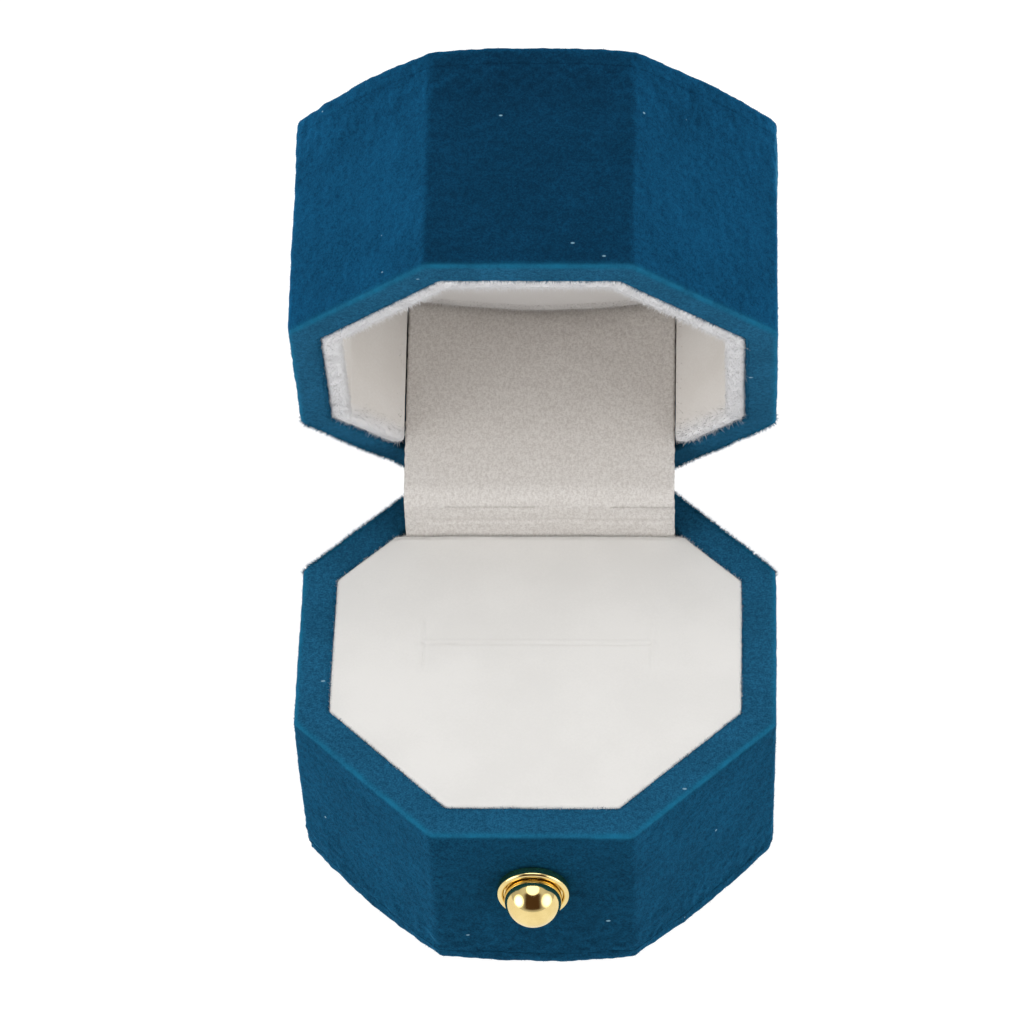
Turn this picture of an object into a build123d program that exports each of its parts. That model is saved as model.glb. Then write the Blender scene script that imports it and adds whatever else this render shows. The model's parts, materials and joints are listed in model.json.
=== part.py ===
from build123d import *
import os
from math import cos, hypot, radians, sin, sqrt, tan

# An octagonal ring box, standing open. The origin is the centre of the underside of the base, +Z is
# up, the stud is on the -Y side and the hinge is on the +Y side. Millimetres and degrees.

# Overall sizes
WIDTH = 54.0  # across the flats, at the two rims
BASE_HEIGHT = 24.0
LID_HEIGHT = 27.0
BASE_DRAFT = 0.9
LID_DRAFT = 0.4
OPEN_ANGLE = 75.0
SIDES = 8

# Walls: a stiff board with velvet glued over its outside, its rim and a little of its inside
BOARD = 2.4
VELVET = 0.6
TURN_IN = 7.0
END_PLATE = 2.2
RIM_CLEARANCE = 0.05
FIT = 0.05
OVERCUT = 1.0  # how far a cut runs past the face it opens

# Hinge
HINGE_INSET = 2.05
KNUCKLE_RADIUS = 1.45
KNUCKLE_LENGTH = 3.5
KNUCKLE_PITCH = 3.6
KNUCKLE_COUNT = 5
BARREL_CLEARANCE = 0.25
PIN_RADIUS = 0.7
PIN_HEAD_RADIUS = 1.0
PIN_HEAD = 0.35
LEAF = 0.5
LEAF_DEPTH = 12.0
LEAF_SHOULDER = 1.8
RIVET_X = 7.0
RIVET_DEPTH = 10.0
RIVET_RADIUS = 0.75
RIVET_HEAD_RADIUS = 1.4
RIVET_HEAD = 0.55
RIVET_REACH = 1.1

# Bowed hinge spring, whose two ends sit in ears on the leaves
SPRING_FORWARD = 2.5
SPRING_DEPTH = 7.0
SPRING_BOW = 4.5
SPRING = 0.4
SPRING_WIDTH = 9.8
SPRING_TAB_RADIUS = 0.45
SPRING_TAB_REACH = 6.3
EAR_X = 5.3
EAR = 0.5
EAR_FORWARD = 3.7
EAR_HALF_DEPTH = 1.4
EAR_HOLE_RADIUS = 0.6

# Cushion in the base, held up on a card riser
CUSHION_HALF = 23.2
CUSHION_REAR = 14.1
CUSHION_SKIN = 0.5
CUSHION_DEPTH = 6.0
CUSHION_CARD = 1.2
SLIT_WIDTH = 0.6
SLIT_LENGTH = 25.0
SLIT_END_LENGTH = 7.2
SLIT_END_WIDTH = 0.4
CARD_SLOT_WIDTH = 1.6
RISER_HALF = 21.0
RISER_WALL = 1.0
RISER_SET_BACK = 0.5

# Lining and padded ceiling of the lid
LINING_HALF = 21.4
LINING_BOARD = 1.45
LINING_SKIN = 0.5
LINING_RECESS = 0.4
LINING_REAR = 15.9
CEILING_GAP = 0.2
CEILING_DEPTH = 17.2
CEILING_SKIN = 0.5
CEILING_CARD = 1.6

# Flap that hides the hinge: two cards and one strip of suede that bends between them
FLAP_WIDTH = 30.8
FLAP_FORWARD = 8.95
FLAP_SUEDE = 0.5
FLAP_CARD = 0.8
FOLD_RADIUS = 2.4
FOLD_GAP = 0.3
FLAP_LOWER_LENGTH = 16.0
FLAP_TOP_DEPTH = 21.0
BLOCK_INNER_X = 11.0
BLOCK_OUTER_X = 15.2
BLOCK_DEPTHS = (9.0, 20.0)

# Stud on the front: a ball with a shank, a beaded collar, a washer and a nut
STUD_HEIGHT = 14.3
BALL_RADIUS = 3.2
BALL_PROUD = 0.3  # from the front of the collar's bead to the middle of the ball
COLLAR_RADIUS = 4.05
COLLAR = 0.55
BEAD_RADIUS = 0.38
COLLAR_STAND_OFF = 0.07
COLLAR_FRONT = 1.2
SHANK_RADIUS = 1.0
SHANK_CLEARANCE = 0.1
SHANK_END = 21.6
WASHER_RADIUS = 2.5
WASHER = 0.4
NUT_FLATS = 4.0
NUT = 1.6

# Worked out from the sizes above
BASE, LID = -1, 1
HALF = WIDTH / 2
HEIGHTS = {BASE: BASE_HEIGHT, LID: LID_HEIGHT}
DRAFTS = {BASE: BASE_DRAFT, LID: LID_DRAFT}
BOARD_INNER_HALF = HALF - VELVET - BOARD
INNER_HALF = BOARD_INNER_HALF - VELVET
HINGE_Y = HALF - HINGE_INSET
HALF_ANGLE = OPEN_ANGLE / 2
LEAF_BACK = BOARD_INNER_HALF - HINGE_Y
LEAF_FRONT = LEAF_BACK - LEAF
LEAF_WIDTH = KNUCKLE_PITCH * (KNUCKLE_COUNT - 1) + KNUCKLE_LENGTH
NOTCH_WIDTH = LEAF_WIDTH + 2 * (PIN_HEAD + BARREL_CLEARANCE)
PIVOT_FORWARD = FLAP_FORWARD - FOLD_RADIUS
PIVOT_RISE = PIVOT_FORWARD * tan(radians(HALF_ANGLE))
CARD_FRONT = -FLAP_FORWARD + FLAP_SUEDE
CARD_BACK = CARD_FRONT + FLAP_CARD
HINGE_AXIS = Axis((0, HINGE_Y, BASE_HEIGHT), (1, 0, 0))


def octagon(half, rear=None):
    """An octagon with flats half from its centre, cut straight across at y = rear if that is given."""
    face = RegularPolygon(half, SIDES, major_radius=False, rotation=180 / SIDES)
    if rear is None:
        return face
    return face & Pos(0, rear - half, 0) * Rectangle(2 * WIDTH, 2 * half)


def slab(face, side, near, far):
    """A flat outline made solid between two depths, measured from the rim plane into one side."""
    low = BASE_HEIGHT + min(side * near, side * far)
    return extrude(Pos(0, 0, low) * face, far - near)


def drafted(side, inset, near, far):
    """The outer form of one side, set in by inset, between two depths."""
    slope = tan(radians(DRAFTS[side]))
    ends = [
        Pos(0, 0, BASE_HEIGHT + side * depth) * octagon(HALF - inset - depth * slope)
        for depth in (near, far)
    ]
    return loft(ends, ruled=True)


def hinge_plate(points, width, x=0.0):
    """A plate across X whose outline is given as (y, z) from the hinge axis."""
    outline = Plane.YZ * Polygon(*points, align=None)
    return Pos(x, HINGE_Y, BASE_HEIGHT) * extrude(outline, width / 2, both=True)


def hinge_box(side, front, back, near, far, width, x=0.0):
    """A box given by its y from the hinge axis and its depths from the rim plane."""
    corners = [(front, side * near), (back, side * near), (back, side * far), (front, side * far)]
    return hinge_plate(corners, width, x)


def hinge_bar(radius, length, x=0.0, forward=0.0, rise=0.0):
    """A round bar along X, placed from the hinge axis."""
    bar = Rotation(0, 90, 0) * Cylinder(radius, length)
    return Pos(x, HINGE_Y - forward, BASE_HEIGHT + rise) * bar


def opened(part):
    """A piece of the lid, turned from the closed place where it is drawn to the open one."""
    return part.rotate(HINGE_AXIS, -OPEN_ANGLE)


# Walls and end plates


def seam(side):
    return HEIGHTS[side] - END_PLATE


def hinge_relief(side):
    """What the walls leave free: the rear bevel that stops the lid, the barrel and the leaf."""
    start = side * RIM_CLEARANCE / cos(radians(HALF_ANGLE))
    rise = side * WIDTH * tan(radians(HALF_ANGLE))
    bevel = hinge_plate([(0, -start), (WIDTH, -start), (WIDTH, start + rise), (0, start)], 2 * WIDTH)
    barrel = hinge_bar(KNUCKLE_RADIUS + BARREL_CLEARANCE, NOTCH_WIDTH)
    front = LEAF_BACK - LEAF - OVERCUT
    leaf_slot = hinge_box(side, front, LEAF_BACK, -OVERCUT, LEAF_DEPTH, NOTCH_WIDTH)
    return bevel + barrel + leaf_slot


def rivet_holes(side, radius):
    """Two bars through the rear wall where the leaf is riveted."""
    bar = Rotation(90, 0, 0) * Cylinder(radius, 2 * BOARD + 2 * LEAF)
    z = BASE_HEIGHT + side * RIVET_DEPTH
    return [Pos(x, BOARD_INNER_HALF, z) * bar for x in (-RIVET_X, RIVET_X)]


def wall_board(side):
    tube = drafted(side, VELVET, RIM_CLEARANCE + VELVET, seam(side))
    tube -= slab(octagon(BOARD_INNER_HALF), side, 0, seam(side))
    tube -= hinge_relief(side)
    for hole in rivet_holes(side, RIVET_RADIUS + FIT):
        tube -= hole
    return tube


def wall_velvet(side):
    """A sleeve over the outside and the rim, turned in over the top of the inside."""
    sleeve = drafted(side, 0, RIM_CLEARANCE, seam(side))
    sleeve -= drafted(side, VELVET, RIM_CLEARANCE + VELVET, seam(side))
    sleeve += slab(octagon(BOARD_INNER_HALF), side, RIM_CLEARANCE + VELVET, TURN_IN)
    sleeve -= slab(octagon(INNER_HALF), side, 0, seam(side))
    return sleeve - hinge_relief(side)


def end_board(side):
    return drafted(side, VELVET, seam(side), HEIGHTS[side] - VELVET)


def end_velvet(side):
    """A shallow cup of velvet over the end board's face and edge."""
    return drafted(side, 0, seam(side), HEIGHTS[side]) - end_board(side)


def stud_hole():
    bar = Rotation(90, 0, 0) * Cylinder(SHANK_RADIUS + SHANK_CLEARANCE, 2 * HALF - 2 * INNER_HALF)
    return Pos(0, -HALF, STUD_HEIGHT) * bar


# Cushion


def slit_faces():
    """The ring slit and the short cut across each of its ends."""
    cut = Rectangle(SLIT_LENGTH, SLIT_WIDTH)
    for end in (-1, 1):
        cut += Pos(end * SLIT_LENGTH / 2, 0, 0) * Rectangle(SLIT_END_WIDTH, SLIT_END_LENGTH)
    return cut


def cushion_velvet():
    skin = slab(octagon(CUSHION_HALF, CUSHION_REAR), BASE, 0, CUSHION_DEPTH)
    inside = octagon(CUSHION_HALF - CUSHION_SKIN, CUSHION_REAR - CUSHION_SKIN)
    skin -= slab(inside, BASE, CUSHION_SKIN, CUSHION_DEPTH)
    return skin - slab(slit_faces(), BASE, 0, CUSHION_SKIN)


def cushion_foam(front):
    """One of the two blocks of foam that grip the ring between them."""
    outline = octagon(CUSHION_HALF - CUSHION_SKIN, CUSHION_REAR - CUSHION_SKIN)
    shift = (HALF + SLIT_WIDTH / 2) * (-1 if front else 1)
    outline &= Pos(0, shift, 0) * Rectangle(WIDTH, WIDTH)
    return slab(outline, BASE, CUSHION_SKIN, CUSHION_DEPTH)


def cushion_board():
    outline = octagon(CUSHION_HALF - CUSHION_SKIN, CUSHION_REAR - CUSHION_SKIN)
    outline -= Rectangle(SLIT_LENGTH, CARD_SLOT_WIDTH)
    return slab(outline, BASE, CUSHION_DEPTH, CUSHION_DEPTH + CUSHION_CARD)


def cushion_riser():
    """A card frame that stands on the bottom board and carries the cushion."""
    rear = CUSHION_REAR - RISER_SET_BACK
    outline = octagon(RISER_HALF, rear)
    outline -= octagon(RISER_HALF - RISER_WALL, rear - RISER_WALL)
    return slab(outline, BASE, CUSHION_DEPTH + CUSHION_CARD, seam(BASE))


# Lining and ceiling of the lid


def lining_board():
    outline = octagon(LINING_HALF + LINING_SKIN + LINING_BOARD, LINING_REAR)
    outline -= octagon(LINING_HALF + LINING_SKIN)
    return slab(outline, LID, LINING_RECESS + LINING_SKIN, seam(LID))


def lining_velvet():
    outer = octagon(LINING_HALF + LINING_SKIN + LINING_BOARD, LINING_REAR)
    skin = slab(outer - octagon(LINING_HALF), LID, LINING_RECESS, seam(LID))
    return skin - lining_board()


def ceiling_outline(inset):
    return octagon(LINING_HALF - CEILING_GAP - inset, LINING_REAR - CEILING_GAP - inset)


def ceiling_board():
    return slab(ceiling_outline(0), LID, seam(LID) - CEILING_CARD, seam(LID))


def ceiling_foam():
    near = CEILING_DEPTH + CEILING_SKIN
    return slab(ceiling_outline(CEILING_SKIN), LID, near, seam(LID) - CEILING_CARD)


def ceiling_fabric():
    return slab(ceiling_outline(0), LID, CEILING_DEPTH, seam(LID) - CEILING_CARD) - ceiling_foam()


# Hinge


def knuckle_places(side):
    """The x of each of this side's knuckles: the base has the odd ones and the lid the even ones."""
    first = 0 if side == BASE else 1
    middle = (KNUCKLE_COUNT - 1) / 2
    return [(n - middle) * KNUCKLE_PITCH for n in range(first, KNUCKLE_COUNT, 2)]


def spring_slot():
    """The slot in the lid's ears. The spring's tab slides in it as the lid passes its midpoint."""
    stretch = 2 * hypot(SPRING_FORWARD, SPRING_DEPTH) - 2 * SPRING_DEPTH
    lean = HALF_ANGLE / 2
    slot = SlotCenterToCenter(stretch, 2 * EAR_HOLE_RADIUS, rotation=90 + lean)
    y = -SPRING_FORWARD + stretch / 2 * sin(radians(lean))
    z = SPRING_DEPTH - stretch / 2 * cos(radians(lean))
    solid = extrude(Plane.YZ * Pos(y, z, 0) * slot, LEAF_WIDTH / 2, both=True)
    return Pos(0, HINGE_Y, BASE_HEIGHT) * solid


def hinge_leaf(side):
    """A pressed plate with its rolled knuckles and two ears that hold the spring."""
    leaf = hinge_box(side, LEAF_FRONT, LEAF_BACK, LEAF_SHOULDER, LEAF_DEPTH, LEAF_WIDTH)
    for x in knuckle_places(side):
        leaf += hinge_box(side, LEAF_FRONT, LEAF_BACK, 0, LEAF_SHOULDER, KNUCKLE_LENGTH, x)
        leaf += hinge_bar(KNUCKLE_RADIUS, KNUCKLE_LENGTH, x)
    ear_depths = (SPRING_DEPTH - EAR_HALF_DEPTH, SPRING_DEPTH + EAR_HALF_DEPTH)
    for x in (-EAR_X - EAR / 2, EAR_X + EAR / 2):
        leaf += hinge_box(side, -EAR_FORWARD, LEAF_FRONT, *ear_depths, EAR, x)
    leaf -= hinge_bar(PIN_RADIUS + FIT, 2 * LEAF_WIDTH)
    if side == BASE:
        leaf -= hinge_bar(EAR_HOLE_RADIUS, LEAF_WIDTH, 0, SPRING_FORWARD, -SPRING_DEPTH)
    else:
        leaf -= spring_slot()
    for hole in rivet_holes(side, RIVET_RADIUS + FIT):
        leaf -= hole
    return leaf


def hinge_rivets(side):
    rivets = []
    z = BASE_HEIGHT + side * RIVET_DEPTH
    front = HINGE_Y + LEAF_FRONT
    back = HINGE_Y + RIVET_REACH
    for x in (-RIVET_X, RIVET_X):
        shank = Cylinder(RIVET_RADIUS, back - front + RIVET_HEAD / 2)
        head = Cylinder(RIVET_HEAD_RADIUS, RIVET_HEAD)
        shank = Pos(x, (front + back - RIVET_HEAD / 2) / 2, z) * Rotation(90, 0, 0) * shank
        head = Pos(x, front - RIVET_HEAD / 2, z) * Rotation(90, 0, 0) * head
        rivets.append(shank + head)
    return Compound(rivets)


def hinge_pin():
    pin = hinge_bar(PIN_RADIUS, LEAF_WIDTH + 2 * PIN_HEAD)
    for end in (-1, 1):
        x = end * (LEAF_WIDTH + PIN_HEAD + 2 * FIT) / 2
        pin += hinge_bar(PIN_HEAD_RADIUS, PIN_HEAD, x)
    return pin


def hinge_spring():
    """A strip bowed towards the front, with a round tab across each end, in its place at rest."""
    span = 2 * SPRING_DEPTH
    radius = (SPRING_DEPTH**2 + SPRING_BOW**2) / (2 * SPRING_BOW)
    centre = Pos(radius - SPRING_BOW, SPRING_DEPTH, 0)
    ring = centre * (Circle(radius + SPRING / 2) - Circle(radius - SPRING / 2))
    reach = SPRING_BOW + SPRING
    ring &= Pos(-reach / 2, SPRING_DEPTH, 0) * Rectangle(reach, span)
    spring = extrude(Plane.YZ * ring, SPRING_WIDTH / 2, both=True)
    tab = Rotation(0, 90, 0) * Cylinder(SPRING_TAB_RADIUS, 2 * SPRING_TAB_REACH)
    for z in (0, span):
        spring += Pos(0, 0, z) * tab
    spring = spring.rotate(Axis.X, -HALF_ANGLE)
    return Pos(0, HINGE_Y - SPRING_FORWARD, BASE_HEIGHT - SPRING_DEPTH) * spring


# Flap


def flap_board_lower():
    near = -PIVOT_RISE + FOLD_GAP
    return hinge_box(BASE, CARD_FRONT, CARD_BACK, near, FLAP_LOWER_LENGTH - PIVOT_RISE, FLAP_WIDTH)


def flap_board_upper():
    near = -PIVOT_RISE + FOLD_GAP
    return hinge_box(LID, CARD_FRONT, CARD_BACK, near, FLAP_TOP_DEPTH, FLAP_WIDTH)


def fold_sector():
    """The bent part of the suede, a slice of a ring about the fold's own axis."""
    ring = Circle(FOLD_RADIUS) - Circle(FOLD_RADIUS - FLAP_SUEDE)
    reach = 2 * FOLD_RADIUS / cos(radians(HALF_ANGLE))
    tips = [(-reach * cos(radians(turn)), reach * sin(radians(turn))) for turn in (0, HALF_ANGLE)]
    tips.append((-reach * cos(radians(OPEN_ANGLE)), reach * sin(radians(OPEN_ANGLE))))
    sector = Plane.YZ * (ring & Polygon((0, 0), *tips, align=None))
    solid = extrude(sector, FLAP_WIDTH / 2, both=True)
    return Pos(0, HINGE_Y - PIVOT_FORWARD, BASE_HEIGHT + PIVOT_RISE) * solid


def flap_suede():
    front = -FLAP_FORWARD
    lower_end = FLAP_LOWER_LENGTH - PIVOT_RISE
    lower = hinge_box(BASE, front, CARD_FRONT, -PIVOT_RISE, lower_end, FLAP_WIDTH)
    upper = hinge_box(LID, front, CARD_FRONT, -PIVOT_RISE, FLAP_TOP_DEPTH, FLAP_WIDTH)
    return lower + fold_sector() + opened(upper)


def flap_blocks():
    """Two blocks that glue the upper card to the rear chamfers of the lid."""
    y = HINGE_Y + CARD_BACK
    chamfer = BOARD_INNER_HALF * sqrt(2)
    points = [(BLOCK_INNER_X, y), (BLOCK_OUTER_X, y), (BLOCK_OUTER_X, chamfer - BLOCK_OUTER_X)]
    points.append((BLOCK_INNER_X, chamfer - BLOCK_INNER_X))
    block = slab(Polygon(*points, align=None), LID, *BLOCK_DEPTHS)
    return Compound([block, mirror(block, about=Plane.YZ)])


# Stud


def stud_bar(radius, front, back):
    """A round bar along the stud's axis, between two distances in front of the box's centre."""
    bar = Rotation(90, 0, 0) * Cylinder(radius, front - back)
    return Pos(0, -(front + back) / 2, STUD_HEIGHT) * bar


def collar_back():
    return HALF - (BASE_HEIGHT - STUD_HEIGHT) * tan(radians(BASE_DRAFT)) + COLLAR_STAND_OFF


def stud_collar():
    back = collar_back()
    front = back + COLLAR_FRONT
    bead = Rotation(90, 0, 0) * Torus(COLLAR_RADIUS - BEAD_RADIUS, BEAD_RADIUS)
    collar = stud_bar(COLLAR_RADIUS - BEAD_RADIUS, back + COLLAR, back)
    collar += stud_bar(COLLAR_RADIUS, front - BEAD_RADIUS, back)
    collar -= stud_bar(COLLAR_RADIUS - BEAD_RADIUS, front, back + COLLAR)
    collar += Pos(0, -(front - BEAD_RADIUS), STUD_HEIGHT) * bead
    return collar - stud_bar(SHANK_RADIUS + FIT, front, 0)


def stud_ball():
    seat = collar_back() + COLLAR
    middle = collar_back() + COLLAR_FRONT + BALL_PROUD
    ball = Pos(0, -middle, STUD_HEIGHT) * Sphere(BALL_RADIUS)
    ball -= stud_bar(2 * BALL_RADIUS, seat, 0)
    return ball + stud_bar(SHANK_RADIUS, middle, SHANK_END)


def stud_washer():
    back = BOARD_INNER_HALF - WASHER
    return stud_bar(WASHER_RADIUS, BOARD_INNER_HALF, back) - stud_bar(SHANK_RADIUS + FIT, HALF, 0)


def stud_nut():
    front = BOARD_INNER_HALF - WASHER
    hexagon = RegularPolygon(NUT_FLATS / 2, 6, major_radius=False)
    nut = Pos(0, -front + NUT, STUD_HEIGHT) * Rotation(90, 0, 0) * extrude(hexagon, NUT)
    return nut - stud_bar(SHANK_RADIUS + FIT, HALF, 0)


BASE_PIECES = {
    "base_shell": wall_board(BASE) - stud_hole(),
    "base_velvet_wrap": wall_velvet(BASE) - stud_hole(),
    "base_bottom_board": end_board(BASE),
    "base_bottom_velvet": end_velvet(BASE),
    "cushion_riser": cushion_riser(),
    "cushion_board": cushion_board(),
    "cushion_foam_front": cushion_foam(True),
    "cushion_foam_rear": cushion_foam(False),
    "cushion_velvet": cushion_velvet(),
    "hinge_base_leaf": hinge_leaf(BASE),
    "hinge_base_rivets": hinge_rivets(BASE),
    "hinge_pin": hinge_pin(),
    "hinge_spring": hinge_spring(),
    "flap_board_lower": flap_board_lower(),
    "flap_suede": flap_suede(),
    "stud_ball": stud_ball(),
    "stud_collar": stud_collar(),
    "stud_washer": stud_washer(),
    "stud_nut": stud_nut(),
}

LID_PIECES = {
    "lid_shell": wall_board(LID),
    "lid_velvet_wrap": wall_velvet(LID),
    "lid_top_board": end_board(LID),
    "lid_top_velvet": end_velvet(LID),
    "lid_lining_board": lining_board(),
    "lid_lining_velvet": lining_velvet(),
    "ceiling_board": ceiling_board(),
    "ceiling_foam": ceiling_foam(),
    "ceiling_fabric": ceiling_fabric(),
    "hinge_lid_leaf": hinge_leaf(LID),
    "hinge_lid_rivets": hinge_rivets(LID),
    "flap_board_upper": flap_board_upper(),
    "flap_blocks": flap_blocks(),
}

os.makedirs("parts", exist_ok=True)
for name, piece in BASE_PIECES.items():
    export_step(piece, f"parts/{name}.step")
for name, piece in LID_PIECES.items():
    export_step(opened(piece), f"parts/{name}.step")
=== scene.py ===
import json
import math

import bmesh
import bpy
import numpy as np
from mathutils import Matrix, Vector, noise


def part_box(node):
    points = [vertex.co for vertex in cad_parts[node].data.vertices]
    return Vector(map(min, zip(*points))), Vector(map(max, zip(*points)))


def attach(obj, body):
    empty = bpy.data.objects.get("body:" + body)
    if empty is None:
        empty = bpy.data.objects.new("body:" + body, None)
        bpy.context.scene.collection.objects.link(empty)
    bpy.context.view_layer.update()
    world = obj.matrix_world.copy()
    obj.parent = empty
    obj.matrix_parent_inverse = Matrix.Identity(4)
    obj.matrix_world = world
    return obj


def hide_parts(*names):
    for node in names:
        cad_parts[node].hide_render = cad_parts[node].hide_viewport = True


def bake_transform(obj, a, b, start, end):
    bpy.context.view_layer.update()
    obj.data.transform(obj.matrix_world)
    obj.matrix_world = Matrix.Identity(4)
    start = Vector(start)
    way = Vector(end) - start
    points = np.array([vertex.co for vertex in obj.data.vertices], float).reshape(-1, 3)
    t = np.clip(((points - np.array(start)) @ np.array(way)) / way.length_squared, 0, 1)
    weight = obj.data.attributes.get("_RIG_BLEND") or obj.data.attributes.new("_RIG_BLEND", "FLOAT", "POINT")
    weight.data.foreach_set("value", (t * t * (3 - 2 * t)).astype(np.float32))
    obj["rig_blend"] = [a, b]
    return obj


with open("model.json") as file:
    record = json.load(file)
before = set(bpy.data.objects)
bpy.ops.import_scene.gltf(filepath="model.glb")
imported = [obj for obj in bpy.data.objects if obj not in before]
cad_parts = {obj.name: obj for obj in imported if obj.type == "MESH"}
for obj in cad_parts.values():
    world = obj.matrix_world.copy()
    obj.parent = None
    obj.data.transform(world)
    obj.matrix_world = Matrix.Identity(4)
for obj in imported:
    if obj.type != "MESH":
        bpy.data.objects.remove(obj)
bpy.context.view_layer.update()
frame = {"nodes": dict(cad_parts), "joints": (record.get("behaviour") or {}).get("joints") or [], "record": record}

# Shapes are worked out in millimetres, in the row frame, and become metres when a mesh is made.
# Lid pieces are drawn with the lid shut, over the base, and then turned open. A point is drawn as
# (x, y, depth), where depth is how far it is from the rim plane, down in the base and up in the lid.
MM = 0.001
BASE, LID = "base", "lid"
QUARTER = math.radians(90)


# Places that the CAD model sets


def joint(name):
    return next(j for j in frame["joints"] if j["name"] == name)


HINGE = np.array(joint("lid_hinge")["pos_m"]) / MM
OPEN = math.radians(joint("lid_hinge")["range_deg"][1])
FOLD = np.array(joint("flap_fold")["pos_m"]) / MM
RIM = HINGE[2]


def turned(points, angle):
    """Points turned about the lid's hinge."""
    c, s = math.cos(angle), math.sin(angle)
    y, z = points[:, 1] - HINGE[1], points[:, 2] - HINGE[2]
    return np.stack([points[:, 0], HINGE[1] + y * c - z * s, HINGE[2] + y * s + z * c], axis=1)


def placed(points, side):
    """Points drawn as (x, y, depth), put where the open box has them."""
    points = np.array(points, dtype=float)
    if side == BASE:
        points[:, 2] = RIM - points[:, 2]
        return points
    points[:, 2] = RIM + points[:, 2]
    return turned(points, -OPEN)


def vector_array(items, name):
    """A vector that each item of a mesh has, as the rows of an array."""
    values = np.empty(3 * len(items))
    items.foreach_get(name, values)
    return values.reshape(-1, 3)


def drawn(points, side):
    """Points of the open box, in metres, as (x, y, depth)."""
    points = points / MM
    if side == BASE:
        return np.column_stack([points[:, :2], RIM - points[:, 2]])
    points = turned(points, OPEN)
    return np.column_stack([points[:, :2], points[:, 2] - RIM])


def open_box(node):
    """The low and high corners of a CAD node, as (x, y, z) with the box open."""
    return [np.array(corner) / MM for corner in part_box(node)]


def drawn_box(node):
    """The low and high corners of a CAD node, as (x, y, depth)."""
    side = LID if node in frame["record"]["behaviour"]["bodies"][LID] else BASE
    points = drawn(vector_array(frame["nodes"][node].data.vertices, "co"), side)
    return points.min(axis=0), points.max(axis=0)


WRAP = {side: drawn_box(f"{side}_velvet_wrap") for side in (BASE, LID)}
END = {BASE: drawn_box("base_bottom_velvet"), LID: drawn_box("lid_top_velvet")}
HALF = WRAP[BASE][1][0]
SEAM = {side: WRAP[side][1][2] for side in (BASE, LID)}
END_DEPTH = {side: END[side][1][2] for side in (BASE, LID)}
DRAFT = {side: (HALF - END[side][1][0]) / SEAM[side] for side in (BASE, LID)}
CUSHION = drawn_box("cushion_velvet")
LINING = drawn_box("lid_lining_velvet")
CEILING = drawn_box("ceiling_fabric")
SUEDE = open_box("flap_suede")
LEAF = drawn_box("hinge_base_leaf")

# The velvet's rims are this far from the rim plane, its thickness is PILE, and it turns in as deep as
# TURN_IN. The halves are how far the velvet's and the board's inner faces are from the middle.
RIM_GAP = 0.06
PILE = 0.57
TURN_IN = 7.0
MOUTH_HALF = {BASE: 22.95, LID: 23.42}
BOARD_HALF = 23.93


def outer_half(side, depth):
    return HALF - DRAFT[side] * depth


# Meshes


def add_mesh(name, points, faces, smooth=True):
    mesh = bpy.data.meshes.new(name)
    mesh.from_pydata((np.asarray(points) * MM).tolist(), [], faces)
    bm = bmesh.new()
    bm.from_mesh(mesh)
    bmesh.ops.recalc_face_normals(bm, faces=bm.faces)
    bm.to_mesh(mesh)
    bm.free()
    obj = bpy.data.objects.new(name, mesh)
    bpy.context.scene.collection.objects.link(obj)
    if smooth:
        mesh.shade_smooth()
    return obj


def grid_faces(rows, columns, closed_rows=False, closed_columns=False, start=0):
    """The quads of a grid whose points run along each row in turn."""
    faces = []
    for r in range(rows if closed_rows else rows - 1):
        near, far = start + r * columns, start + (r + 1) % rows * columns
        for c in range(columns if closed_columns else columns - 1):
            d = (c + 1) % columns
            faces.append((near + c, near + d, far + d, far + c))
    return faces


def grid_edge(rows, columns):
    """The points of a grid's edge, in order round it."""
    right = [r * columns + columns - 1 for r in range(1, rows)]
    last = [(rows - 1) * columns + c for c in range(columns - 2, -1, -1)]
    left = [r * columns for r in range(rows - 2, 0, -1)]
    return [*range(columns), *right, *last, *left]


def joined_loops(near, far):
    """The quads between two closed loops of points."""
    following = [*range(1, len(near)), 0]
    return [(near[i], near[j], far[j], far[i]) for i, j in enumerate(following)]


def outline(corners, radius, steps, arc_steps=6, closed=True):
    """Points round a polygon with rounded corners. Outlines with the same steps have as many points."""
    corners = np.array(corners, dtype=float)
    count = len(corners)
    points = []
    for i, here in enumerate(corners):
        on = corners[(i + 1) % count] - here
        back = corners[i - 1] - here
        if closed or 0 < i < count - 1:
            a, b = back / np.linalg.norm(back), on / np.linalg.norm(on)
            cut = radius / math.tan(math.acos(a @ b) / 2)
            cut = min(cut, 0.45 * min(np.linalg.norm(back), np.linalg.norm(on)))
            p, q = here + a * cut, here + b * cut
            for t in np.linspace(0, 1, arc_steps + 1):
                points.append((1 - t) ** 2 * p + 2 * t * (1 - t) * here + t * t * q)
        else:
            points.append(here)
        points.append(None)
    made = []
    for i, point in enumerate(points):
        if point is not None:
            made.append(point)
            continue
        if i == len(points) - 1 and not closed:
            continue
        start, end = made[-1], points[(i + 1) % len(points)]
        made += [start + (end - start) * t for t in np.linspace(0, 1, steps + 1)[1:-1]]
    return np.array(made)


def octagon(half):
    """The corners of an octagon whose flats are that far from its middle."""
    reach = half / math.cos(math.radians(22.5))
    turns = np.radians(np.arange(8) * 45 - 67.5)
    return np.stack([reach * np.cos(turns), reach * np.sin(turns)], axis=1)


ARC_SPACING = 0.16


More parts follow.
